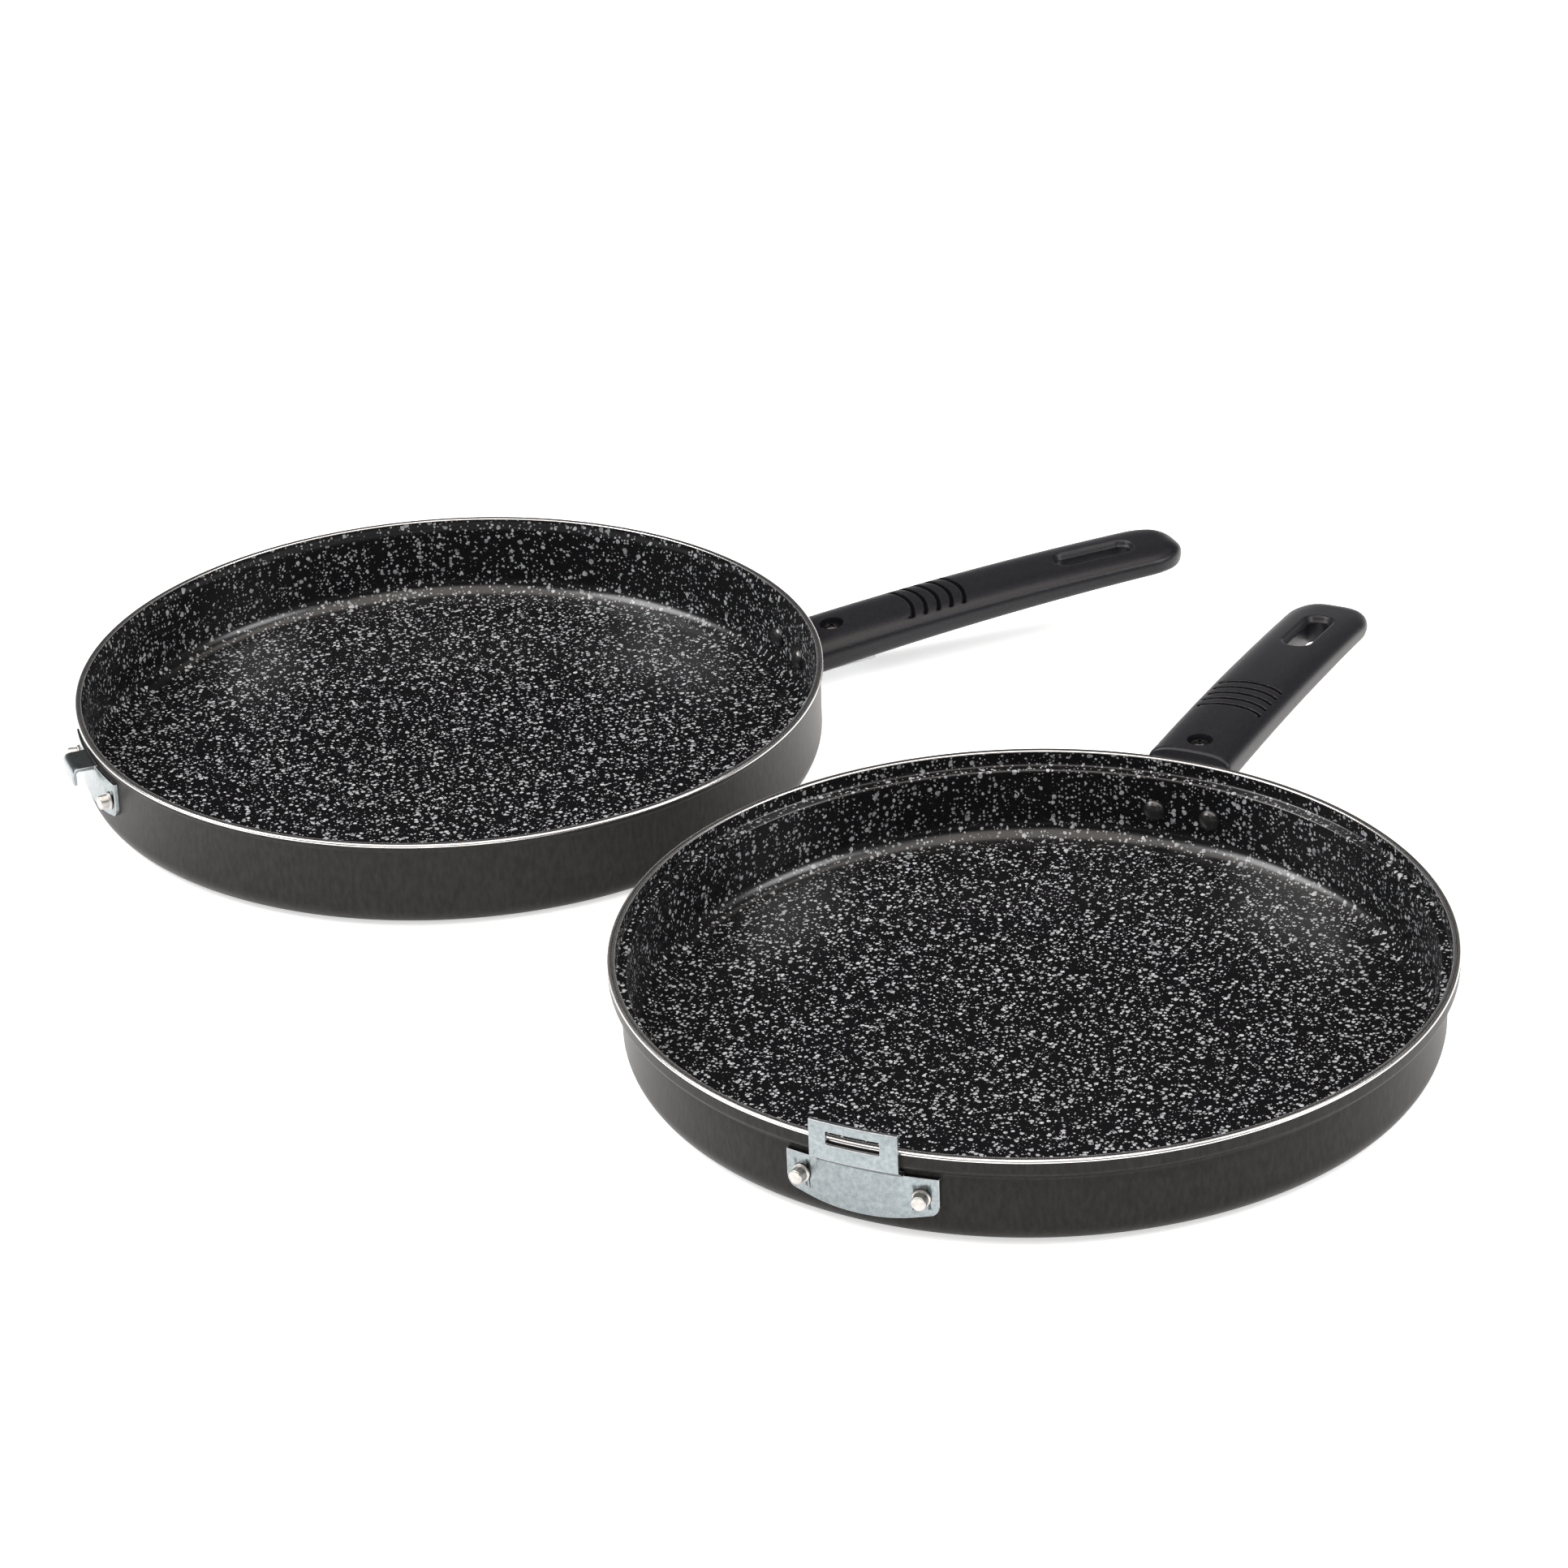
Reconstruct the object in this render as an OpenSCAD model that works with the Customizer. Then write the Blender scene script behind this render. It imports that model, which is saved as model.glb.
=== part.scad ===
// Double sided flip pan: two round shallow pans that nest rim to rim and
// share one grip. They are shown apart, side by side and face up: the slot
// half on the right (its lip has a ledge that the other rim drops into) and
// the hook half on the left. Millimetres, +Z up, the table at z = 0.
// +Y runs along the line that the hook half is turned over, towards the
// handles. The origin is the middle of the slot half's base.

/* [Node] */
// Piece to draw

/* [Layout] */
// Gap between the two rims as they lie side by side
rim_gap = 21.6; // [4:0.2:60]
// Angle between each handle and the turning line
splay = 21.5; // [5:0.5:25]

/* [Slot half] */
// Height of the slot half, table to rim
slot_h = 34; // [28:0.5:50]
// Outside radius of the slot half's lip
lip_r = 140; // [120:1:160]
// How far the lip stands out past the wall below it
lip_out = 4; // [3.4:0.1:6]
// Depth of the ledge that the other rim rests on
ledge_depth = 5.6; // [4:0.1:9]

/* [Hook half] */
// Height of the hook half, table to rim
hook_h = 33.5; // [28:0.5:50]
// Play between the hook half's rim and the lip that it sits in
nest_play = 1; // [0.4:0.1:1.6]
// How far the rim bead stands out past the hook half's wall
bead_out = 1.2; // [0.8:0.1:1.8]

/* [Sheet] */
// Wall thickness of the slot half
slot_t = 2.6; // [1.8:0.1:4]
// Wall thickness of the hook half
hook_t = 2.4; // [1.8:0.1:4]
// Thickness of the two floors
floor_t = 3; // [2:0.1:5]
// Radius of the outside corner between wall and base
corner_r = 9; // [4:0.5:14]

/* [Handle] */
// Length of the handle from the wall to its tip
handle_l = 155; // [120:1:185]
// Width of the handle
handle_w = 31; // [24:0.5:38]
// Thickness of the handle at the wall
handle_t0 = 13.6; // [11:0.2:15]
// Thickness of the handle near its tip
handle_t1 = 9.6; // [8:0.2:14]
// Upward bow of the handle at its middle
handle_bow = 2; // [0:0.1:4]
// Slope of the handle against the table
handle_slope = 3.5; // [0:0.5:8]
// Gap between the two closed handles where they are nearest
grip_gap = 0.4; // [0.3:0.1:1.5]
// Number of arc grooves across the handle
grooves = 5; // [0:1:8]
// Length of the hanging hole
hang_len = 30; // [20:0.5:36]
// Width of the hanging hole
hang_w = 8; // [6:0.5:12]

/* [Catch] */
// Width of the riveted plates
plate_w = 52; // [40:1:60]
// Thickness of the plates
plate_t = 1.3; // [1:0.1:2]
// Width of the upright tab that carries the slot
tab_w = 30; // [24:1:36]
// Play of the tongue in the width of the slot, both sides together
slot_play = 3.9; // [0.8:0.1:6]
// Height of the slot
slot_z = 4.8; // [4.2:0.1:7]
// Width of the hook's tongue
tongue_w = 14.5; // [10:0.5:17]
// Length of the hook's turned-down lip
hook_lip = 6.4; // [4:0.1:9]

/* [Hidden] */
$fn = 96;

// Clearances: pieces at rest on each other when closed, riveted pieces, and
// shanks in their holes
rest_gap = 0.3;
lay_gap = 0.08;
hole_gap = 0.06;

// Radii, from the lip inwards
lip_t = 2.6;
lip_in = lip_r - lip_t;
slot_wall_r = lip_r - lip_out;
slot_in = slot_wall_r - slot_t;
bead_r = lip_in - nest_play;
bead_in = bead_r - 2.4;
hook_wall_r = bead_r - bead_out;
hook_in = hook_wall_r - hook_t;
spacing = lip_r + bead_r + rim_gap;

// Closed, the hook half's rim plane lies this far below the slot half's rim
closed_drop = ledge_depth - rest_gap;
// The lip's flare starts here, and everything on the wall ends below it
flare_z = slot_h - ledge_depth - 3.8;

// Handle lines at the wall, above the table. The slot half's handle sits just
// below the flare. Closed, the two handles face each other, bow to bow, with
// grip_gap between them, which sets the hook half's line.
handle_s0 = lip_r - 2;
slot_line = flare_z - 0.7 + handle_t0;
hook_line = hook_h - (slot_line - slot_h + closed_drop
            + (2 * handle_bow + grip_gap) / cos(handle_slope));

// Catch: closed, the tongue passes over the lip and through the slot
tongue_drop = closed_drop + rest_gap + plate_t / 2;
slot_mid = slot_h - closed_drop + tongue_drop;
slot_w = tongue_w + slot_play;
bar_h = 3.2;
tab_top = slot_mid + slot_z / 2 + bar_h;
bend_z = flare_z - 0.6;
tab_r = lip_r + 0.7;
hook_reach = tab_r + plate_t + 1.2;
slot_foot_h = 16.6;
hook_foot_h = 16;
hook_foot_w = plate_w - 2;

// Rivets: shank and head radii, place from the plate's end, height on the wall
shank_r = 2.4;
head_r = 4;
dome_r = 4.1;
plate_rivet_x = plate_w / 2 - 5.8;
slot_plate_a = asin(plate_rivet_x / slot_wall_r);
hook_plate_a = asin(plate_rivet_x / hook_wall_r);
slot_plate_rivet_z = slot_h - 17;
hook_plate_rivet_z = hook_h - 13.4;

// Bracket behind the handle
flange_t = 2;
flange_w = handle_w - 3;
strap_w = 18;
strap_t = 2;
strap_u = 25;
bracket_rivet_x = flange_w / 2 - 3.4;
slot_bracket_a = asin(bracket_rivet_x / slot_wall_r);
hook_bracket_a = asin(bracket_rivet_x / hook_wall_r);
slot_bracket_rivet_z = slot_h - 18.5;
hook_bracket_rivet_z = hook_line - 5.3;
slot_flange = [min(corner_r - 1, slot_bracket_rivet_z - dome_r - 1), flare_z - 0.1];
hook_flange = [hook_line - handle_t0 + 0.1, hook_line - 1.2];
// The fillet between floor and wall stays clear of the rivet heads
slot_fillet = max(1.6, min(corner_r - 2.4, slot_bracket_rivet_z - dome_r - floor_t));
hook_fillet = max(1.6, min(corner_r - 2.4, hook_bracket_rivet_z - dome_r - floor_t));

// Handle details, measured along the handle from the wall line
nose_l = 0.55 * handle_w;
nose_t = 0.83 * handle_t1;
mould_step = 0.35;
mould_drop = 0.25;
screw_u = 12;
screw_r = 2;
screw_head_r = 4.1;
groove_u = 0.28 * handle_l;
groove_step = 5.25;
groove_r = 24;
hang_mid = handle_l - 35;
hang_c = (hang_len - hang_w) / 2;
recess_edge = 1.8;

// Colours
lacquer = [0.16, 0.15, 0.14];
zinc = [0.66, 0.70, 0.73];
bright = [0.80, 0.79, 0.77];
black = [0.05, 0.05, 0.06];
phenolic = [0.09, 0.09, 0.10];
steel = [0.55, 0.56, 0.58];

// ---- helpers ----

// Points of an arc about [cx, cy], from angle a0 to a1
function arc(cx, cy, r, a0, a1, n = 8) =
    [for (i = [0:n]) let (a = a0 + (a1 - a0) * i / n) [cx + r * cos(a), cy + r * sin(a)]];

// Each half is drawn about its own centre with the handle along +X, then set
// down at its own side with its handle leaning in over the turning line
module at_slot_half() rotate([0, 0, 90 + splay]) children();
module at_hook_half() translate([-spacing, 0, 0]) rotate([0, 0, 90 - splay]) children();

// A curved plate that lies on a wall of radius r at the side away from the
// handle, half angle a each way, heights z0 to z1
module wall_band(r, t, a, z0, z1)
    rotate([0, 0, 180 - a]) rotate_extrude(angle = 2 * a)
        translate([r, z0]) square([t, z1 - z0]);

// Outline of a riveted plate, flat: x across, y up. Its top edge is cut off
// at y = 0 by the wall band
module plate_outline(w, h, end_h, r)
    polygon(concat(
        [[-w / 2, 1]],
        arc(-w / 2 + r, -end_h, r, 180, 238, 5),
        [for (i = [1:13]) let (x = -w / 2 + 5.2 + (w - 10.4) * i / 14)
            [x, -h + (h - end_h - 4.4) * pow(abs(2 * x / (w - 10.4)), 2.2)]],
        arc(w / 2 - r, -end_h, r, -58, 0, 5),
        [[w / 2, 1]]));

// The two holes of a pair of rivets, through all that lies on the wall
module wall_holes(r, mid, a, z)
    for (s = [-1, 1]) rotate([0, 0, mid + s * a]) translate([r - 4, 0, z])
        rotate([0, 90, 0]) cylinder(r = shank_r + hole_gap, h = 14, $fn = 32);

// ---- pans ----

// Slot half: flared lip over a ledge, rolled bare rim with a fine groove
module slot_pan_shape() {
    c = corner_r;
    difference() {
        rotate_extrude($fn = 192) polygon(concat(
            [[0, 0]],
            arc(slot_wall_r - c, c, c, -90, 0, 8),
            [[slot_wall_r, flare_z]],
            arc(slot_wall_r + 2.2, flare_z, 2.2, 180, 120, 4),
            arc(lip_r - 2.4, slot_h - ledge_depth + 1.4, 2.4, -52, 0, 4),
            [[lip_r, slot_h - 0.9]],
            arc(lip_r - 0.8, slot_h - 0.8, 0.8, 0, 90, 4),
            [[lip_r - 1.15, slot_h], [lip_r - 1.2, slot_h - 0.35],
             [lip_r - 1.45, slot_h - 0.35], [lip_r - 1.5, slot_h]],
            arc(lip_in + 0.5, slot_h - 0.5, 0.5, 90, 180, 3),
            arc(lip_in - 0.9, slot_h - ledge_depth + 0.9, 0.9, 0, -90, 4),
            arc(slot_in + 0.9, slot_h - ledge_depth - 0.9, 0.9, 90, 180, 4),
            arc(slot_in - slot_fillet, floor_t + slot_fillet, slot_fillet, 0, -90, 8),
            [[0, floor_t]]));
        wall_holes(slot_in, 180, slot_plate_a, slot_plate_rivet_z);
        wall_holes(slot_in, 0, slot_bracket_a, slot_bracket_rivet_z);
    }
}

// Hook half: plain wall that turns out into a small bead at the rim
module hook_pan_shape() {
    c = corner_r;
    difference() {
        rotate_extrude($fn = 192) polygon(concat(
            [[0, 0]],
            arc(hook_wall_r - c, c, c, -90, 0, 8),
            [[hook_wall_r, hook_h - 3.6], [hook_wall_r + 0.25, hook_h - 2.9]],
            arc(bead_r - 0.9, hook_h - 1.6, 0.9, -50, 0, 3),
            [[bead_r, hook_h - 0.9]],
            arc(bead_r - 0.8, hook_h - 0.8, 0.8, 0, 90, 4),
            [[bead_r - 1.15, hook_h], [bead_r - 1.2, hook_h - 0.35],
             [bead_r - 1.4, hook_h - 0.35], [bead_r - 1.45, hook_h]],
            arc(bead_in + 0.4, hook_h - 0.4, 0.4, 90, 180, 3),
            [[bead_in, hook_h - 1.2], [hook_in + 0.5, hook_h - 2.8], [hook_in, hook_h - 5]],
            arc(hook_in - hook_fillet, floor_t + hook_fillet, hook_fillet, 0, -90, 8),
            [[0, floor_t]]));
        wall_holes(hook_in, 180, hook_plate_a, hook_plate_rivet_z);
        wall_holes(hook_in, 0, hook_bracket_a, hook_bracket_rivet_z);
    }
}

// ---- catch plates ----

// Plate on the wall, cranked out past the lip into an upright slotted tab
module slot_plate_shape() {
    r = slot_wall_r + lay_gap;
    ta = asin(tab_w / 2 / tab_r);
    pa = asin(plate_w / 2 / r) + 3;
    difference() {
        union() {
            intersection() {
                wall_band(r, plate_t, pa, bend_z - slot_foot_h - 3, bend_z);
                translate([-slot_wall_r - 8, 0, bend_z]) rotate([90, 0, 90])
                    linear_extrude(height = 20) plate_outline(plate_w, slot_foot_h, 9.4, 4.4);
            }
            rotate([0, 0, 180 - ta]) rotate_extrude(angle = 2 * ta)
                polygon([[r + 0.2, bend_z - 1.2], [r + plate_t - 0.2, bend_z - 1.2],
                         [r + plate_t + 0.3, bend_z - 0.2],
                         [tab_r + plate_t, bend_z + 3.2], [tab_r + plate_t, tab_top],
                         [tab_r, tab_top], [tab_r, bend_z + 3.8],
                         [r + 0.2, bend_z + 0.7]]);
        }
        translate([-tab_r - 4, -slot_w / 2, slot_mid - slot_z / 2]) cube([8, slot_w, slot_z]);
        wall_holes(r, 180, slot_plate_a, slot_plate_rivet_z);
    }
}

// Plate on the wall whose top edge turns out into a tongue with a lip
module hook_plate_shape() {
    r = hook_wall_r + lay_gap;
    top = hook_h - tongue_drop + plate_t / 2;
    pa = asin(hook_foot_w / 2 / r) + 3;
    ga = asin(tongue_w / 2 / r) + 2;
    difference() {
        union() {
            intersection() {
                wall_band(r, plate_t, pa, top - hook_foot_h - 3, top - 0.1);
                translate([-hook_wall_r - 8, 0, top]) rotate([90, 0, 90])
                    linear_extrude(height = 20) plate_outline(hook_foot_w, hook_foot_h, 9.4, 4.4);
            }
            // tongue and turned-down lip, bent from one strap
            intersection() {
                rotate([0, 0, 180 - ga]) rotate_extrude(angle = 2 * ga)
                    polygon(concat(
                        [[r + 0.2, top], [r + 0.2, top - plate_t - 1], [r + plate_t - 0.2, top - plate_t - 1],
                         [r + plate_t + 0.8, top - plate_t]],
                        [[hook_reach - 0.9, top - plate_t]],
                        arc(hook_reach - 0.9, top - plate_t - 0.9, 0.9, 90, 0, 4),
                        [[hook_reach, top - hook_lip], [hook_reach + plate_t, top - hook_lip]],
                        arc(hook_reach + plate_t - 2.2, top - 2.2, 2.2, 0, 90, 5)));
                translate([-hook_reach - 8, -tongue_w / 2, top - 20]) cube([30, tongue_w, 30]);
            }
        }
        wall_holes(r, 180, hook_plate_a, hook_plate_rivet_z);
    }
}

// ---- rivets ----

// Rivet along +X: domed head inside the wall, shank, collar and stub tail
module plate_rivet(wall_in, plate_out)
    rotate([0, 90, 0]) rotate_extrude($fn = 40) polygon(concat(
        [[0, wall_in - 2.1]],
        [for (i = [1:5]) [head_r * sin(18 * i), wall_in - 0.08 - 2.02 * cos(18 * i)]],
        [[shank_r, wall_in - 0.08], [shank_r, plate_out + lay_gap], [3.1, plate_out + lay_gap],
         [3.1, plate_out + 0.75], [2.5, plate_out + 1.0], [2.5, plate_out + 3.9],
         [2.2, plate_out + 4.2], [0, plate_out + 4.2]]));

// Rivet along +X with a flat tail, for the handle bracket
module bracket_rivet(wall_in, flange_out)
    rotate([0, 90, 0]) rotate_extrude($fn = 40) polygon(concat(
        [[0, wall_in - 2.5]],
        [for (i = [1:6]) [dome_r * sin(15 * i), wall_in - 0.08 - 2.42 * cos(15 * i)]],
        [[shank_r, wall_in - 0.08], [shank_r, flange_out + lay_gap], [3.6, flange_out + lay_gap],
         [3.4, flange_out + 1.3], [0, flange_out + 1.3]]));

module slot_plate_rivet(s)
    rotate([0, 0, 180 + s * slot_plate_a]) translate([0, 0, slot_plate_rivet_z])
        plate_rivet(slot_in, slot_wall_r + lay_gap + plate_t);
module hook_plate_rivet(s)
    rotate([0, 0, 180 + s * hook_plate_a]) translate([0, 0, hook_plate_rivet_z])
        plate_rivet(hook_in, hook_wall_r + lay_gap + plate_t);
module slot_bracket_rivet(s)
    rotate([0, 0, s * slot_bracket_a]) translate([0, 0, slot_bracket_rivet_z])
        bracket_rivet(slot_in, slot_wall_r + lay_gap + flange_t);
module hook_bracket_rivet(s)
    rotate([0, 0, s * hook_bracket_a]) translate([0, 0, hook_bracket_rivet_z])
        bracket_rivet(hook_in, hook_wall_r + lay_gap + flange_t);

// ---- handle bracket ----

// Curved flange riveted to the wall, and the strap that is bent out of it,
// lies in the handle's underside and takes the screw
module bracket_shape(wall_r, band, rivet_a, rivet_z, line, slope) {
    fa = asin(flange_w / 2 / wall_r);
    sa = asin(strap_w / 2 / wall_r);
    under = line - handle_t0;
    difference() {
        union() {
            rotate([0, 0, -fa]) rotate_extrude(angle = 2 * fa)
                translate([wall_r + lay_gap, band[0]]) square([flange_t, band[1] - band[0]]);
            rotate([0, 0, -sa]) rotate_extrude(angle = 2 * sa)
                polygon([[wall_r + lay_gap, under - 2.6], [wall_r + 2.6, under - 2.6],
                         [wall_r + 4.6, under - 0.6], [wall_r + 4.6, under + 0.4],
                         [wall_r + lay_gap, under + 0.4]]);
            translate([handle_s0, 0, line]) rotate([0, -slope, 0])
                translate([wall_r + 0.9 - handle_s0, -strap_w / 2, -handle_t0])
                    cube([strap_u - wall_r - 0.9 + handle_s0, strap_w, strap_t]);
        }
        translate([handle_s0, 0, line]) rotate([0, -slope, 0])
            translate([screw_u, 0, -handle_t0 - 1]) cylinder(r = screw_r + hole_gap, h = strap_t + 2, $fn = 32);
        wall_holes(wall_r, 0, rivet_a, rivet_z);
    }
}

// ---- handle ----

// Height of the handle's top at u, above the straight handle line
function bow(u) = handle_bow * (1 - pow((u - handle_l / 2) / (handle_l / 2), 2));
function thick(u) = handle_t0 + (handle_t1 - handle_t0) * min(1, max(0, u / (handle_l - 12)));
// Rounded nose: shrinks from 1 to 0 over the last d millimetres
function nose(u, d, n) = u <= handle_l - d ? 1
    : pow(max(0, 1 - pow((u - handle_l + d) / d, n)), 1 / n);
function spow(v, n) = sign(v) * pow(abs(v), 2 / n);

// One cross-section: crowned top half, and a lower half that is set in a
// little below the moulding line
function section(u) =
    let (ny = max(0.06, nose(u, nose_l, 2.1)), nz = max(0.05, nose(u, nose_t, 2.1)),
         t = thick(u), zm = bow(u) - t * 0.52,
         hw = handle_w / 2 * ny, up = t * 0.52 * nz, dn = t * 0.48 * nz)
    concat(
        [for (a = sweep) [u, hw * spow(cos(a), 3.3), zm + up * spow(sin(a), 3.3)]],
        [for (a = sweep) [u, -max(hw - mould_step, hw * 0.9) * spow(cos(a), 3),
                          zm - nz * mould_drop - (dn - nz * mould_drop) * spow(sin(a), 3)]]);

stations = concat([for (k = [-0.3, 0.15, 0.6]) k * handle_t0],
    [for (i = [0:10]) 1.2 * handle_t0 + (handle_l - 1.2 * handle_t0 - 1.5 * nose_l) * i / 10],
    [for (k = [1.2, 0.95, 0.74, 0.56, 0.42, 0.3, 0.2, 0.13, 0.07, 0.02]) handle_l - k * nose_l]);
sweep = [0, 10, 20, 30, 40, 50, 60, 69, 77, 90, 103, 111, 120, 130, 140, 150, 160, 170, 180];
sec_n = 2 * len(sweep);

module handle_solid() {
    m = len(stations);
    polyhedron(
        points = [for (u = stations) each section(u)],
        faces = concat(
            [[for (i = [0:sec_n - 1]) i]],
            [[for (i = [0:sec_n - 1]) (m - 1) * sec_n + sec_n - 1 - i]],
            [for (k = [0:m - 2]) for (i = [0:sec_n - 1])
                let (j = (i + 1) % sec_n, a = k * sec_n, b = a + sec_n)
                each [[a + i, b + i, b + j], [a + i, b + j, a + j]]]),
        convexity = 4);
}

// The moulded handle in its own frame: u along +X, the handle line at z = 0
module handle_moulding() {
    difference() {
        handle_solid();
        // arc grooves across the grip
        for (k = [0:1:grooves - 1]) {
            gu = groove_u + k * groove_step;
            translate([gu - groove_r, 0, bow(gu) - 1.1]) rotate([0, 0, -31])
                rotate_extrude(angle = 62, $fn = 96) translate([groove_r - 0.55, 0]) square([1.1, 4]);
        }
        // hanging hole, and the dished recess round it
        for (u = [hang_mid - hang_c, hang_mid + hang_c])
            translate([u, 0, -20]) cylinder(r = hang_w / 2, h = 30, $fn = 48);
        translate([hang_mid - hang_c, -hang_w / 2, -20]) cube([2 * hang_c, hang_w, 30]);
        hull() for (u = [hang_mid - hang_c, hang_mid + hang_c])
            translate([u, 0, bow(u) - 2.5]) cylinder(r1 = hang_w / 2, r2 = hang_w / 2 + 1.76 * recess_edge, h = 4.4, $fn = 32);
        // screw hole and its round seat
        translate([screw_u, 0, bow(screw_u) - 3.2]) cylinder(r = screw_head_r + 0.5, h = 8, $fn = 48);
        translate([screw_u, 0, -handle_t0 - 4]) cylinder(r = screw_r + 0.2, h = 20, $fn = 32);
        // recess for the strap in the underside
        translate([-12, -strap_w / 2 - 0.2, -handle_t0 - 4]) cube([strap_u + 12.3, strap_w + 0.4, 4 + strap_t + 0.1]);
    }
}

module handle_shape(root_r, wall_r, flange_top, rivet_a, rivet_z, line, slope) {
    fa = asin((handle_w / 2 + 2) / wall_r);
    sa = asin(strap_w / 2 / wall_r) + 0.2;
    difference() {
        translate([handle_s0, 0, line]) rotate([0, -slope, 0]) handle_moulding();
        // the end is hollowed to the pan's curve and eased along its top edge
        cylinder(r = root_r, h = 2 * line, $fn = 192);
        translate([0, 0, line - 0.9]) cylinder(r1 = root_r - 0.01, r2 = root_r + 3, h = 3, $fn = 192);
        // room for the bracket's flange, its bend and the rivet tails
        rotate([0, 0, -fa]) rotate_extrude(angle = 2 * fa)
            translate([wall_r - 4, 0]) square([4 + lay_gap + flange_t + 0.35, flange_top + 0.3]);
        rotate([0, 0, -sa]) rotate_extrude(angle = 2 * sa)
            translate([wall_r - 4, 0]) square([8.9, line - handle_t0 + 0.7]);
        for (s = [-1, 1]) rotate([0, 0, s * rivet_a]) translate([wall_r, 0, rivet_z])
            rotate([0, 90, 0]) cylinder(r = 4, h = flange_t + 1.9, $fn = 32);
    }
}

// Screw in the handle's frame: domed head with a cross slot
module handle_screw_shape(line, slope) {
    seat = bow(screw_u) - 3.15;
    tip = -handle_t0 - 0.6 - seat;
    translate([handle_s0, 0, line]) rotate([0, -slope, 0])
        translate([screw_u, 0, seat]) difference() {
            rotate_extrude($fn = 48) polygon(concat(
                [[0, tip], [screw_r - 0.4, tip], [screw_r, tip + 0.5], [screw_r, 0],
                 [screw_head_r, 0], [screw_head_r, 0.5]],
                [for (i = [1:6]) [screw_head_r * cos(15 * i), 0.5 + 2.2 * sin(15 * i)]]));
            for (a = [0, 90]) rotate([0, 0, a + 20]) translate([-2.1, -0.45, 1.2]) cube([4.2, 0.9, 3]);
        }
}

// ---- pieces ----

module slot_pan() color(lacquer) at_slot_half() slot_pan_shape();
module slot_plate() color(zinc) at_slot_half() slot_plate_shape();
module slot_plate_rivet_left() color(bright) at_slot_half() slot_plate_rivet(1);
module slot_plate_rivet_right() color(bright) at_slot_half() slot_plate_rivet(-1);
module slot_bracket() color(steel) at_slot_half()
    bracket_shape(slot_wall_r, slot_flange, slot_bracket_a, slot_bracket_rivet_z, slot_line, -handle_slope);
module slot_bracket_rivet_left() color(black) at_slot_half() slot_bracket_rivet(1);
module slot_bracket_rivet_right() color(black) at_slot_half() slot_bracket_rivet(-1);
module slot_handle() color(phenolic) at_slot_half()
    handle_shape(lip_r + 0.3, slot_wall_r, slot_flange[1], slot_bracket_a, slot_bracket_rivet_z,
                 slot_line, -handle_slope);
module slot_handle_screw() color(black) at_slot_half() handle_screw_shape(slot_line, -handle_slope);

module hook_pan() color(lacquer) at_hook_half() hook_pan_shape();
module hook_plate() color(zinc) at_hook_half() hook_plate_shape();
module hook_plate_rivet_left() color(bright) at_hook_half() hook_plate_rivet(1);
module hook_plate_rivet_right() color(bright) at_hook_half() hook_plate_rivet(-1);
module hook_bracket() color(steel) at_hook_half()
    bracket_shape(hook_wall_r, hook_flange, hook_bracket_a, hook_bracket_rivet_z, hook_line, handle_slope);
module hook_bracket_rivet_left() color(black) at_hook_half() hook_bracket_rivet(1);
module hook_bracket_rivet_right() color(black) at_hook_half() hook_bracket_rivet(-1);
module hook_handle() color(phenolic) at_hook_half()
    handle_shape(hook_wall_r + 0.3, hook_wall_r, hook_flange[1], hook_bracket_a, hook_bracket_rivet_z,
                 hook_line, handle_slope);
module hook_handle_screw() color(black) at_hook_half() handle_screw_shape(hook_line, handle_slope);

slot_pan();
slot_plate();
slot_plate_rivet_left();
slot_plate_rivet_right();
slot_bracket();
slot_bracket_rivet_left();
slot_bracket_rivet_right();
slot_handle();
slot_handle_screw();
hook_pan();
hook_plate();
hook_plate_rivet_left();
hook_plate_rivet_right();
hook_bracket();
hook_bracket_rivet_left();
hook_bracket_rivet_right();
hook_handle();
hook_handle_screw();
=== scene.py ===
# %% [markdown]
# # A double sided flip pan
# Two shallow round pans lie face up, side by side. One can be turned over
# onto the other: its rim then drops on a ledge inside the first pan's lip,
# a hook goes through a slotted plate, and the two handles lie together as
# one grip. The lesson starts from the finished CAD solids and gives them
# the sheet metal, coating and plastic that the camera sees.

# %% Bring in the frame
import math

import bmesh
import bpy
from mathutils import Matrix, Vector


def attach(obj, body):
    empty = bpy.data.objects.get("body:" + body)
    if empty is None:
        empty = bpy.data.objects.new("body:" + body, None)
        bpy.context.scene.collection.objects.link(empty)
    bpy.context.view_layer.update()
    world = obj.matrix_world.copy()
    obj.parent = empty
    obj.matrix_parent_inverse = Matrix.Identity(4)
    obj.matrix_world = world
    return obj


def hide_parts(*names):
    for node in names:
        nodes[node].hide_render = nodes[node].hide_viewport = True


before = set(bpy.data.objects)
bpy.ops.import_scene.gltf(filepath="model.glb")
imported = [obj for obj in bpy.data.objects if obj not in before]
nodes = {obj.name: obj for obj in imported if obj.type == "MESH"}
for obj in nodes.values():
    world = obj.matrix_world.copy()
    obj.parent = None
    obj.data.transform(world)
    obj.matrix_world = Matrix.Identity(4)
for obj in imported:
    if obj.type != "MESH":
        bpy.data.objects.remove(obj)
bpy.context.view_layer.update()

# %% [markdown]
# ## Where the two halves are
# Every size below is in millimetres and repeats the CAD source. A half is
# modelled about its own centre with its handle along +X, and one matrix
# then sets it down where it belongs. The matrix leaves the size alone:
# each mesh turns its millimetres into Blender's metres with MM.

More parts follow.
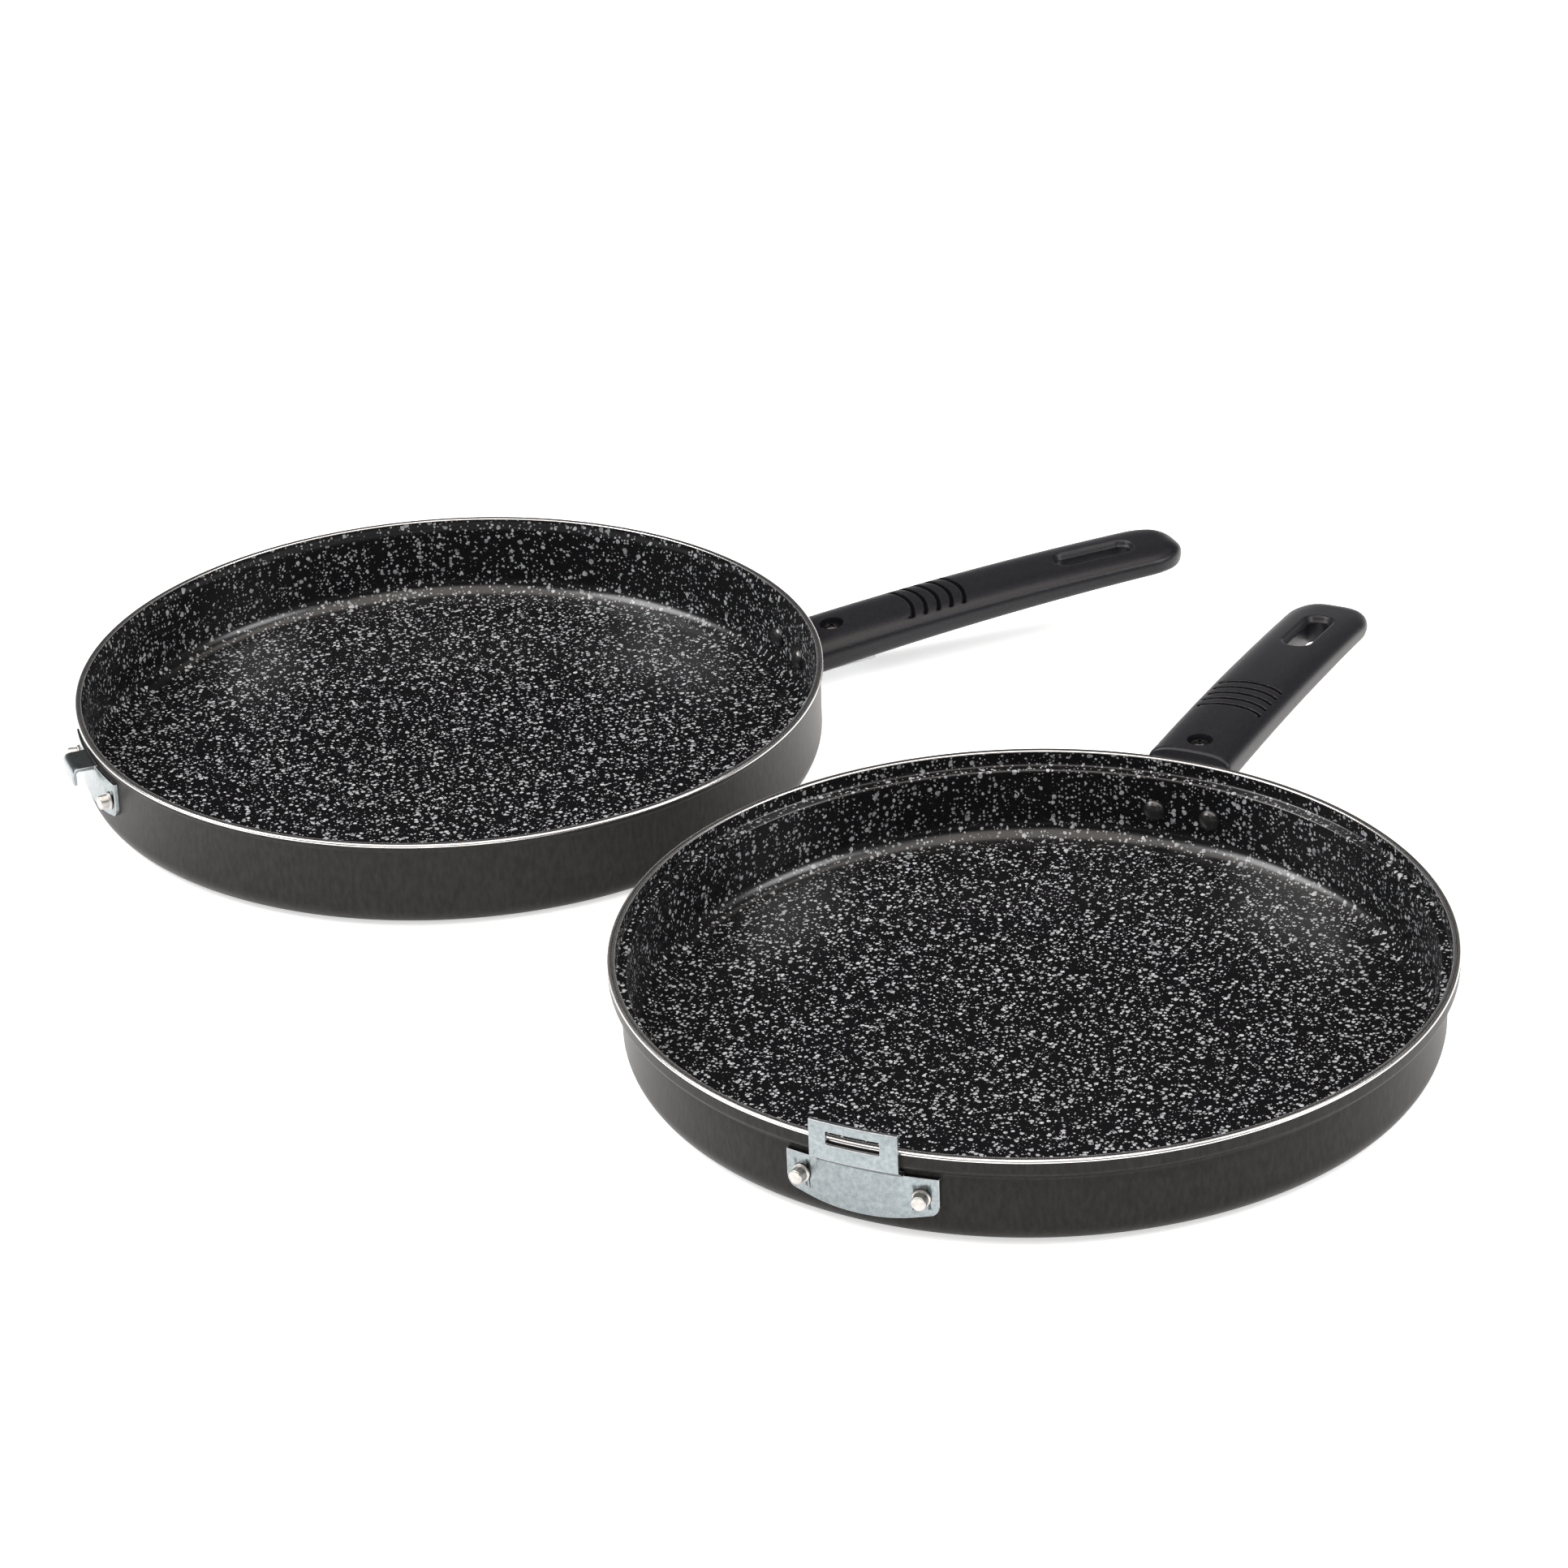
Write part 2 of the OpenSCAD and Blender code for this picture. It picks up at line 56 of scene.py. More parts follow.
# %% The two halves
MM = 0.001
SPLAY = 21.5  # degrees between each handle and the turning line
SPACING = 298  # from the middle of one pan to the middle of the other
slot_half = Matrix.Rotation(math.radians(90 + SPLAY), 4, "Z")
hook_half = (Matrix.Translation((-SPACING * MM, 0, 0))
             @ Matrix.Rotation(math.radians(90 - SPLAY), 4, "Z"))


def set_down(piece, half, body):
    """Puts a finished piece in its half of the pan and lets it ride along."""
    piece.matrix_world = half
    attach(piece, body)


print("the hook half's middle is", SPACING, "mm left of the slot half's")

# %% [markdown]
# ## Finishes
# Each finish is a small node tree. A few helpers keep the trees readable.
# One starts a material, with its plain values on the shader itself. One
# makes a noise that is measured in millimetres on the object, and the
# others use a noise to vary the colour or to tilt the surface.

# %% Starting a finish
def finish(name, colour, roughness, metallic=0.0, shine=0.5):
    """A new material whose plain values sit on the shader."""
    made = bpy.data.materials.new(name)
    made.use_nodes = True
    shader = made.node_tree.nodes["Principled BSDF"]
    shader.inputs["Base Color"].default_value = (*colour, 1)
    shader.inputs["Roughness"].default_value = roughness
    shader.inputs["Metallic"].default_value = metallic
    shader.inputs["Specular IOR Level"].default_value = shine
    return made, made.node_tree, shader


def place(tree, stretch=(1, 1, 1)):
    """Object coordinates; a stretch under 1 draws a pattern out along that axis."""
    where = tree.nodes.new("ShaderNodeTexCoord")
    fit = tree.nodes.new("ShaderNodeMapping")
    fit.inputs["Scale"].default_value = stretch
    tree.links.new(where.outputs["Object"], fit.inputs["Vector"])
    return fit.outputs["Vector"]


def noise(tree, grain_mm, detail=2.0, rough=0.5, stretch=(1, 1, 1)):
    """Noise whose blotches are about grain_mm across."""
    cloud = tree.nodes.new("ShaderNodeTexNoise")
    cloud.inputs["Scale"].default_value = 1 / (grain_mm * MM)
    cloud.inputs["Detail"].default_value = detail
    cloud.inputs["Roughness"].default_value = rough
    tree.links.new(place(tree, stretch), cloud.inputs["Vector"])
    return cloud.outputs["Fac"]


# %% Putting a noise to use
def ramp(tree, value, low, high):
    """Maps a 0 to 1 value to colours; low and high are (position, grey or colour)."""
    scale = tree.nodes.new("ShaderNodeValToRGB")
    for stop, (position, colour) in zip(scale.color_ramp.elements, (low, high)):
        stop.position = position
        grey = isinstance(colour, float)
        stop.color = (colour, colour, colour, 1) if grey else (*colour, 1)
    tree.links.new(value, scale.inputs["Fac"])
    return scale.outputs["Color"]


def mottle(tree, shader, pattern, dark, light):
    """Lets the finish's colour wander between dark and light with a pattern."""
    tint = ramp(tree, pattern, (0.3, dark), (0.7, light))
    tree.links.new(tint, shader.inputs["Base Color"])


def bump(tree, height, depth_mm, shader):
    """Lets a height pattern tilt the surface, depth_mm deep."""
    relief = tree.nodes.new("ShaderNodeBump")
    relief.inputs["Strength"].default_value = 1.0
    relief.inputs["Distance"].default_value = depth_mm * MM
    tree.links.new(height, relief.inputs["Height"])
    tree.links.new(relief.outputs["Normal"], shader.inputs["Normal"])


# %% [markdown]
# ### Speckled non-stick coating
# The coating is black with grey-white flecks that were spattered on: mostly
# round, from a third of a millimetre to three. A Voronoi texture gives one
# dot to every cell, and a size that differs from cell to cell makes the
# spatter. Two layers of it, coarse and fine, cover about a third. Spray
# lands thinner on a wall than on a floor, so the wall has fewer flecks.

# %% One layer of flecks
WOBBLE_SHARE = 0.8  # grain of the noise that bends the flecks, in cells
FLECK_EDGE = 0.03  # half the width of a fleck's soft edge, in cells


def spatter(tree, cell_mm, smallest, largest, warp_mm):
    """White where a fleck lies: one to a cell, each with its own size."""
    wobble = tree.nodes.new("ShaderNodeTexNoise")
    wobble.inputs["Scale"].default_value = 1 / (cell_mm * WOBBLE_SHARE * MM)
    here = place(tree)
    tree.links.new(here, wobble.inputs["Vector"])
    push = tree.nodes.new("ShaderNodeVectorMath")
    push.operation = "MULTIPLY_ADD"
    push.inputs[1].default_value = (warp_mm * MM,) * 3
    tree.links.new(wobble.outputs["Color"], push.inputs[0])
    tree.links.new(here, push.inputs[2])
    cells = tree.nodes.new("ShaderNodeTexVoronoi")
    cells.inputs["Scale"].default_value = 1 / (cell_mm * MM)
    tree.links.new(push.outputs["Vector"], cells.inputs["Vector"])
    size = tree.nodes.new("ShaderNodeMapRange")
    size.inputs["To Min"].default_value = smallest
    size.inputs["To Max"].default_value = largest
    tree.links.new(cells.outputs["Color"], size.inputs["Value"])
    inside = tree.nodes.new("ShaderNodeMath")
    inside.operation = "SUBTRACT"
    tree.links.new(size.outputs["Result"], inside.inputs[0])
    tree.links.new(cells.outputs["Distance"], inside.inputs[1])
    edge = tree.nodes.new("ShaderNodeMapRange")
    edge.inputs["From Min"].default_value = -FLECK_EDGE
    edge.inputs["From Max"].default_value = FLECK_EDGE
    tree.links.new(inside.outputs[0], edge.inputs["Value"])
    return edge.outputs["Result"]


# %% The coating with two layers of flecks
COATING_BLACK = (0.0015, 0.0015, 0.002)
FLECK_DULL = (0.14, 0.145, 0.155)
FLECK_BRIGHT = (0.35, 0.36, 0.375)


def speckled(name, roughness, coarse, fine):
    """The coating; coarse and fine are each (cell, smallest, largest, warp)."""
    made, tree, shader = finish(name, COATING_BLACK, roughness)
    either = tree.nodes.new("ShaderNodeMath")
    either.operation = "MAXIMUM"
    tree.links.new(spatter(tree, *coarse), either.inputs[0])
    tree.links.new(spatter(tree, *fine), either.inputs[1])
    fleck_tint = ramp(tree, noise(tree, 3), (0.35, FLECK_DULL), (0.65, FLECK_BRIGHT))
    mixed = tree.nodes.new("ShaderNodeMix")
    mixed.data_type = "RGBA"
    mixed.inputs["A"].default_value = (*COATING_BLACK, 1)
    tree.links.new(either.outputs[0], mixed.inputs["Factor"])
    tree.links.new(fleck_tint, mixed.inputs["B"])
    tree.links.new(mixed.outputs["Result"], shader.inputs["Base Color"])
    bump(tree, noise(tree, 1.4), 0.012, shader)
    print(name, "has flecks in cells of", coarse[0], "and", fine[0], "mm")
    return made


nonstick_floor = speckled("nonstick_floor", 0.24,
                          coarse=(1.7, -0.15, 0.58, 1.0), fine=(0.95, -0.55, 0.56, 0.5))
nonstick_wall = speckled("nonstick_wall", 0.26,
                         coarse=(2.1, -0.35, 0.56, 1.1), fine=(1.1, -0.35, 0.58, 0.5))

# %% [markdown]
# ### Lacquer on the outside
# The outside has a thin baked lacquer, a warm near-black with a satin
# look and faint upright streaks. Brush strokes could be painted, but a
# noise that is stretched along Z gives them at once, as colour and as
# bump. The shine is low, because the real lacquer is no clear mirror.

# %% Lacquer on the outside
lacquer, tree, shader = finish("lacquer_taupe", (0.021, 0.020, 0.019), 0.36, shine=0.09)
mottle(tree, shader, noise(tree, 1.6, detail=3.0, stretch=(1, 1, 0.4)),
       dark=(0.015, 0.0144, 0.0135), light=(0.026, 0.0250, 0.0236))
bump(tree, noise(tree, 0.8, detail=3.0, stretch=(1, 1, 0.2)), 0.035, shader)
print(lacquer.name, "for the outside of both pans")

# %% [markdown]
# ### Bare aluminium of the rims
# The rim is left bare, so its metal shows as a bright line. It could be a
# plain mirror, but slow changes of tint and a fine bump make it look
# turned. The fine groove in it hardly catches light, so it has a dark
# colour of its own, which is painted shade.

# %% Bare aluminium of the rims
rim_metal, tree, shader = finish("rim_aluminium", (0.66, 0.655, 0.65), 0.27, metallic=1.0)
mottle(tree, shader, noise(tree, 14, detail=3.0),
       dark=(0.60, 0.595, 0.59), light=(0.74, 0.735, 0.73))
bump(tree, noise(tree, 0.9), 0.01, shader)

# The groove's dark colour is painted shade, for the little light that reaches into it.
rim_groove_painted_shade, tree, shader = finish("rim_groove", (0.03, 0.029, 0.027), 0.6)
mottle(tree, shader, noise(tree, 6), dark=0.02, light=0.05)
print(rim_metal.name, "and", rim_groove_painted_shade.name, "for the rims")

# %% [markdown]
# ### Zinc plating
# The catch plates are punched steel with a bluish zinc plating. Its
# crystals make a fine mottling, which a rough noise with many octaves
# gives. Cut edges are given a paler colour, so they have a finish of
# their own, and a bevel further down puts it along each edge.

# %% Zinc plating
zinc, tree, shader = finish("zinc_plating", (0.23, 0.26, 0.27), 0.3, metallic=1.0)
mottle(tree, shader, noise(tree, 1.6, detail=5.0, rough=0.7),
       dark=(0.17, 0.196, 0.206), light=(0.29, 0.325, 0.338))
bump(tree, noise(tree, 0.8, detail=4.0), 0.035, shader)

zinc_edge, tree, shader = finish("zinc_cut_edge", (0.5, 0.51, 0.52), 0.4, metallic=0.3)
mottle(tree, shader, noise(tree, 1.0), dark=(0.40, 0.41, 0.42), light=(0.60, 0.61, 0.62))
print(zinc.name, "and", zinc_edge.name, "for the catch plates")

# %% [markdown]
# ### Rivets, brackets and screws
# The rivets of the catch plates are soft aluminium, dented a little by the
# riveting tool. Those of the brackets are black and smooth like the
# coating. The brackets are plain steel, and the screws are black and
# glossier than the plastic round them. One recipe serves them all: a
# mottled colour and, where the metal was struck or pressed, a bump.

# %% Aluminium of the rivets
rivet_metal, tree, shader = finish("rivet_aluminium", (0.49, 0.475, 0.455), 0.4, metallic=1.0)
mottle(tree, shader, noise(tree, 2.0, detail=3.0),
       dark=(0.36, 0.348, 0.334), light=(0.54, 0.523, 0.50))
bump(tree, noise(tree, 0.5), 0.03, shader)
print(rivet_metal.name, "for the rivets of the catch plates")

# %% Coated rivets, bracket steel and the screw
coated, tree, shader = finish("rivet_coated", (0.006, 0.006, 0.007), 0.26, shine=0.9)
mottle(tree, shader, noise(tree, 2.0), dark=0.006, light=0.011)
bump(tree, noise(tree, 0.7), 0.01, shader)

bracket_steel, tree, shader = finish("bracket_steel", (0.36, 0.37, 0.38), 0.4, metallic=1.0)
mottle(tree, shader, noise(tree, 5, detail=3.0),
       dark=(0.28, 0.29, 0.30), light=(0.42, 0.43, 0.45))
bump(tree, noise(tree, 0.8), 0.02, shader)

screw_black, tree, shader = finish("screw_black", (0.006, 0.006, 0.007), 0.12)
mottle(tree, shader, noise(tree, 1.5), dark=0.004, light=0.008)
print(coated.name, bracket_steel.name, "and", screw_black.name, "for the small parts")

# %% [markdown]
# ### Phenolic plastic of the handles
# Phenolic plastic is a hard black plastic with a faintly grainy skin that
# scatters the light softly. A noise under a millimetre gives the grain.
# The bottoms of the finger grooves are duller than the skin and hardly
# shine; their darker colour is painted shade, for the shade that falls
# into the grooves.

# %% Phenolic plastic of the handles
phenolic, tree, shader = finish("phenolic_black", (0.007, 0.007, 0.009), 0.38, shine=0.3)
mottle(tree, shader, noise(tree, 0.9, detail=3.0),
       dark=(0.004, 0.004, 0.0055), light=(0.010, 0.010, 0.013))
bump(tree, noise(tree, 0.6), 0.06, shader)

# The grooves' darker colour is painted shade, for the shade that falls into them.
groove_painted_shade, tree, shader = finish("phenolic_groove_painted_shade", (0.002, 0.002, 0.003), 0.85, shine=0.02)
mottle(tree, shader, noise(tree, 0.9), dark=0.0015, light=0.0035)
print(phenolic.name, "and", groove_painted_shade.name, "for the handles")

# %% [markdown]
# ## The pans
# A pressed pan is a turned shape, so a spun outline makes it: the outline
# is one closed loop of points, and every stretch of it has its own finish.
# Spinning it by hand in bmesh, and not with a Screw modifier, lets each
# face know which stretch it came from.

# %% Closing a mesh
def mesh_object(name, bm, finishes, sharp=38):
    """Closes a bmesh into a smooth-shaded object; edges over sharp degrees stay crisp."""
    bmesh.ops.recalc_face_normals(bm, faces=bm.faces)
    for face in bm.faces:
        face.smooth = True
    for edge in bm.edges:
        paired = len(edge.link_faces) == 2
        edge.smooth = not (paired and edge.calc_face_angle(0) > math.radians(sharp))
    mesh = bpy.data.meshes.new(name)
    bm.to_mesh(mesh)
    bm.free()
    for made in finishes:
        mesh.materials.append(made)
    piece = bpy.data.objects.new(name, mesh)
    bpy.context.scene.collection.objects.link(piece)
    return piece


# %% Spinning an outline
TURN = 288  # steps in a full turn


def arc(cx, cy, r, start, end, steps):
    """Points along an arc about (cx, cy), from start to end in degrees."""
    angles = [math.radians(start + (end - start) * i / steps) for i in range(steps + 1)]
    return [(cx + r * math.cos(t), cy + r * math.sin(t)) for t in angles]


def ring_of(bm, r, z):
    """One turn of points at radius r and height z, or a single point on the axis."""
    if r < 1e-6:
        return [bm.verts.new((0, 0, z * MM))]
    turn = [2 * math.pi * k / TURN for k in range(TURN)]
    return [bm.verts.new((r * MM * math.cos(t), r * MM * math.sin(t), z * MM)) for t in turn]


def spin(name, stretches, finishes):
    """Turns an outline about Z. A stretch is (finish number, [(radius, height), ...])."""
    bm = bmesh.new()
    outline = [(r, z, n) for n, points in stretches for r, z in points]
    loops = [ring_of(bm, r, z) for r, z, _ in outline]
    for low, high, (_, _, number) in zip(loops, loops[1:], outline[1:]):
        for k in range(TURN):
            j = (k + 1) % TURN
            corners = [low[k % len(low)], low[j % len(low)],
                       high[j % len(high)], high[k % len(high)]]
            corners = [v for m, v in enumerate(corners) if v not in corners[:m]]
            if len(corners) > 2:
                bm.faces.new(corners).material_index = number
    return mesh_object(name, bm, finishes)


# %% [markdown]
# ### What the two pans share
# Both pans have the same rounded base, the same thickness of floor, the
# same rounded corner inside and the same bare rim with its fine groove.
# Each of these is a short run of the outline, so each is written once.

# %% Runs of the outline that both pans share
# The finish of the rim groove's stretch is dark as painted shade.
PAN_FINISHES = [lacquer, rim_metal, rim_groove_painted_shade, nonstick_wall, nonstick_floor]
OUTSIDE, RIM, GROOVE, WALL, FLOOR = range(5)
FLOOR_T = 3  # thickness of the floor
CORNER_R = 9  # rounding between wall and base, outside
FILLET_R = 6.6  # rounding between wall and floor, inside
RIM_R = 0.8  # rounding of the rim's outer edge
GROOVE_AT = 1.2  # from the rim's outside to the groove
GROOVE_DEPTH, GROOVE_LEAN = 0.35, 0.05
LACQUER_END = 0.9  # the lacquer ends this far below the rim
FLOOR_MIDDLE = 60  # a ring on the floor, to keep its long faces short


def base(wall_r):
    """From the middle of the underside to the foot of the wall."""
    return [(0, 0)] + arc(wall_r - CORNER_R, CORNER_R, CORNER_R, -90, 0, 12)


def rim_edge(r, top):
    """Over the rim's outer edge, up to the groove."""
    return arc(r - RIM_R, top - RIM_R, RIM_R, 0, 90, 6) + [(r - GROOVE_AT + GROOVE_LEAN, top)]


def rim_groove(r, top, width):
    """Down into the groove and up again; its far side leans a little."""
    bottom, far = top - GROOVE_DEPTH, r - GROOVE_AT - width
    return [(r - GROOVE_AT, bottom), (far, bottom), (far - GROOVE_LEAN, top)]


def rim_inside(r, top, rounding):
    """Over the rim's inner edge, down towards the wall."""
    return arc(r + rounding, top - rounding, rounding, 90, 180, 4)


def inside_corner(wall_r):
    """Round the corner between the wall and the floor."""
    return arc(wall_r - FILLET_R, FLOOR_T + FILLET_R, FILLET_R, 0, -90, 12)


FLAT_FLOOR = [(FLOOR_MIDDLE, FLOOR_T), (0, FLOOR_T)]
print("floors are", FLOOR_T, "mm thick")

# %% [markdown]
# ### The slot half's pan
# Its wall flares out to a wide lip. Inside, the flare leaves a flat ledge
# that the other pan's rim rests on when the two are closed. The outline
# goes up the outside, over the rim and down the inside to the middle.

# %% The slot half's pan
SLOT_H, LIP_R, LIP_IN = 34, 140, 137.4
SLOT_WALL_R, SLOT_IN = 136, 133.4
FLARE_Z = 24.6  # where the wall starts to flare out
FLARE_R, LIP_BEND_R, LEDGE_R = 2.2, 2.4, 0.9  # roundings of flare, lip and ledge
LEDGE_Z = 28.4
slot_pan = spin("slot_pan_shell", [
    (OUTSIDE, base(SLOT_WALL_R) + [(SLOT_WALL_R, FLARE_Z)]
        + arc(SLOT_WALL_R + FLARE_R, FLARE_Z, FLARE_R, 180, 120, 6)
        + arc(LIP_R - LIP_BEND_R, LEDGE_Z + 1.4, LIP_BEND_R, -52, 0, 6)
        + [(LIP_R, SLOT_H - LACQUER_END)]),
    (RIM, rim_edge(LIP_R, SLOT_H)),
    (GROOVE, rim_groove(LIP_R, SLOT_H, width=0.25)),
    (RIM, rim_inside(LIP_IN, SLOT_H, rounding=0.5)),
    (WALL, arc(LIP_IN - LEDGE_R, LEDGE_Z + LEDGE_R, LEDGE_R, 0, -90, 6)
        + arc(SLOT_IN + LEDGE_R, LEDGE_Z - LEDGE_R, LEDGE_R, 90, 180, 6)
        + inside_corner(SLOT_IN)),
    (FLOOR, FLAT_FLOOR),
], PAN_FINISHES)
set_down(slot_pan, slot_half, "slot_half")
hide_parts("slot_pan")
print("slot half's pan:", len(slot_pan.data.polygons), "faces")

# %% [markdown]
# ### The hook half's pan
# It is a little narrower, so that its rim fits inside the other one's lip.
# The wall goes straight up to a small bead, which stiffens the rim.

# %% The hook half's pan
HOOK_H, BEAD_R, BEAD_IN = 33.5, 136.4, 134.0
HOOK_WALL_R, HOOK_IN = 135.2, 132.8
BEAD_BEND_R = 0.9  # rounding under the bead
hook_pan = spin("hook_pan_shell", [
    (OUTSIDE, base(HOOK_WALL_R)
        + [(HOOK_WALL_R, HOOK_H - 3.6), (HOOK_WALL_R + 0.25, HOOK_H - 2.9)]
        + arc(BEAD_R - BEAD_BEND_R, HOOK_H - 1.6, BEAD_BEND_R, -50, 0, 5)
        + [(BEAD_R, HOOK_H - LACQUER_END)]),
    (RIM, rim_edge(BEAD_R, HOOK_H)),
    (GROOVE, rim_groove(BEAD_R, HOOK_H, width=0.2)),
    (RIM, rim_inside(BEAD_IN, HOOK_H, rounding=0.4)),
    (WALL, [(BEAD_IN, HOOK_H - 1.2), (HOOK_IN + 0.5, HOOK_H - 2.8), (HOOK_IN, HOOK_H - 5)]
        + inside_corner(HOOK_IN)),
    (FLOOR, FLAT_FLOOR),
], PAN_FINISHES)
set_down(hook_pan, hook_half, "hook_half")
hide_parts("hook_pan")
print("hook half's pan:", len(hook_pan.data.polygons), "faces")

# %% [markdown]
# ## The handles
# Both handles come from one mould: a long bar with a crowned top, a low bow
# along its length and a rounded nose. Top and underside are two height
# maps over the same grid, sewn together at the moulding line. Grooves and
# the dish round the hanging hole are then only places where the map goes
# down, with soft edges for free. Booleans cut the hole and the screw's seat.
# Along the handle, u counts from the wall; across it, v counts from the
# middle.

# %% Sizes of the moulding
HANDLE_L, HANDLE_W = 155, 31
ROOT_T, TIP_T = 13.6, 9.6  # thickness at the wall and near the tip
TAPER_END = 12  # the taper stops this far before the tip
BOW = 2  # how far the middle rises over the ends
WALL_LINE = 138  # u = 0, from the middle of the pan
NOSE_ACROSS, NOSE_DOWN = 17.05, 7.97  # how long the nose takes to round off
SEAM_SHARE = 0.52  # the moulding line lies this far down the thickness
SCREW_U, SEAT_R, SEAT_DEPTH = 12, 4.6, 2.65
HANG_MID, HANG_R, HANG_HALF = 120, 4, 11
DISH_DEPTH, DISH_RIM, DISH_SLOPE = 2.3, 1.8, 1.5
FIRST_GROOVE, GROOVE_PITCH, GROOVE_COUNT = 43.4, 5.25, 5
GROOVE_R, GROOVE_HALF_W = 24, 0.6  # radius of the arcs, and how wide they are cut
GROOVE_END, GROOVE_FADE = 12.4, 1.2  # they end this far out, and fade before it
GROOVES = [FIRST_GROOVE + GROOVE_PITCH * k for k in range(GROOVE_COUNT)]
NOSE_POWER, TOP_POWER, BELLY_POWER = 2.1, 3.3, 3  # 2 is round, more is squarer
SEAM_STEP, SEAM_DROP = 0.35, 0.25  # the underside starts this far in and down
THINNEST = 0.2  # share of the full size that is left at the very tip
CRISP = 50  # degrees; edges over this stay sharp


def crown(x, power):
    """1 in the middle and 0 at x = 1 or -1; a higher power is squarer."""
    return max(0, 1 - abs(x) ** power) ** (1 / power)


def nose(u, length):
    """1 along the bar, and rounding off to 0 over the last length."""
    past = (u - HANDLE_L + length) / length
    return crown(past, NOSE_POWER) if past > 0 else 1


def soft_step(x):
    """0 below 0, 1 above 1, and an S-curve between them."""
    x = min(1, max(0, x))
    return x * x * (3 - 2 * x)


print("handles are", HANDLE_L, "by", HANDLE_W, "mm with", len(GROOVES), "grooves")


# %% Heights of the moulding
def grooving(u, v):
    """Depth of the finger grooves, which are arcs about points nearer the wall."""
    depth = 0
    for g in GROOVES:
        off = math.hypot(u - g + GROOVE_R, v) - GROOVE_R
        if u > g - GROOVE_R and abs(off) < 1.5:
            ends = soft_step((GROOVE_END - abs(v)) / GROOVE_FADE)
            depth = ends * math.exp(-(off / GROOVE_HALF_W) ** 2)
    return depth


def carving(u, v):
    """How far the top is let in by the dish and the grooves."""
    along = max(0, abs(u - HANG_MID) - HANG_HALF)
    dish = soft_step((HANG_R + DISH_RIM - math.hypot(along, v)) / DISH_SLOPE)
    return DISH_DEPTH * dish + grooving(u, v)


def moulding(u, x):
    """Half width and height of the top, then of the underside, at u.

    x runs from -1 to 1 across the handle.
    """
    wide = max(THINNEST, nose(u, NOSE_ACROSS))
    tall = max(THINNEST, nose(u, NOSE_DOWN))
    bow = BOW * (1 - ((u - HANDLE_L / 2) / (HANDLE_L / 2)) ** 2)
    t = ROOT_T + (TIP_T - ROOT_T) * min(1, max(0, u / (HANDLE_L - TAPER_END)))
    seam, half = bow - t * SEAM_SHARE, HANDLE_W / 2 * wide
    top = seam + t * SEAM_SHARE * tall * crown(x, TOP_POWER)
    low_half = max(half - SEAM_STEP, half * 0.9)
    belly = t * (1 - SEAM_SHARE) - SEAM_DROP
    low = seam - tall * SEAM_DROP - belly * tall * crown(x, BELLY_POWER)
    return half, top, low_half, low


# %% [markdown]
# ### The grid of the moulding
# The grid is fine where the map changes fast, at the grooves and the dish,
# and coarse along the plain bar. Across the handle, the lines lie closer
# together towards the sides, where the crown falls away.

# %% The grid of the moulding
def spread(start, end, pitch):
    """Even steps of about pitch from start, up to but without end."""
    count = max(1, round((end - start) / pitch))
    return [start + (end - start) * i / count for i in range(count)]


STATIONS = (spread(3, 40, 1.5) + spread(40, 66.5, 0.16)
            + spread(66.5, 102, 2) + spread(102, 138, 0.4) + spread(138, 152, 0.8)
            + [152, 152.9, 153.6, 154.2, 154.65])
HALF_LINES = 44
ACROSS = [math.sin(math.radians(90 * (k / HALF_LINES - 1))) for k in range(2 * HALF_LINES + 1)]
print("the grid is", len(STATIONS), "by", len(ACROSS), "points")

# %% [markdown]
# ### The hanging hole and the screw's seat
# Both go through or into the plastic with a crisp edge, which a height map
# can't give. So a cutter is taken out of the finished moulding with a
# Boolean, and the result is kept as a plain mesh.

# %% Cutters
END_STEPS = 24  # steps round each end of a cutter


def cut(piece, cutter):
    """Takes the cutter's shape out of the piece for good."""
    tool = piece.modifiers.new("cut", "BOOLEAN")
    tool.object = cutter
    tool.operation = "DIFFERENCE"
    tool.solver = "EXACT"
    bpy.context.view_layer.update()
    graph = bpy.context.evaluated_depsgraph_get()
    carved = bpy.data.meshes.new_from_object(piece.evaluated_get(graph))
    piece.modifiers.clear()
    piece.data = carved
    bpy.data.objects.remove(cutter)


def stadium(name, u, half_length, r, low, high):
    """A cutter with two round ends; it is all but round for a tiny half_length."""
    bm = bmesh.new()
    ring = [(u + side * half_length + r * math.cos(t), r * math.sin(t))
            for side, first in ((1, -90), (-1, 90))
            for t in (math.radians(first + 180 * i / END_STEPS) for i in range(END_STEPS + 1))]
    loops = [[bm.verts.new((x * MM, y * MM, z * MM)) for x, y in ring] for z in (low, high)]
    bm.faces.new(loops[0][::-1])
    bm.faces.new(loops[1])
    for k in range(len(ring)):
        j = (k + 1) % len(ring)
        bm.faces.new((loops[0][k], loops[0][j], loops[1][j], loops[1][k]))
    return mesh_object(name, bm, [])


# %% [markdown]
# ### Sewing the two height maps together
# One function sets out the rows of points, leant to the handle's slope and
# drawn against the round wall at the root. Another puts faces between the
# rows. A face takes the groove's finish, with its painted shade, when at
# least two of its corners lie in one.

# %% Rows of points
ROOT_EASE, ROOT_DROP = 1.1, 0.8  # the root's rounding: its length and depth
ROOT_STEPS = (0, 0.25, 0.6, ROOT_EASE)  # rows that the rounding needs
ROOT_CLEAR = 1.6  # the grid's own rows start this far from the root
ROOT_FIT = 6  # the root follows the round wall over this length
# Points this deep take the groove finish, whose darker colour is painted shade.
IN_GROOVE = 0.22  # from this depth on, a point has the groove's finish
POCKET_END, POCKET_HALF_W, POCKET_DEPTH = 25.3, 9.3, 2.1  # room for the bracket's strap
POCKET_SLOPE = 0.4


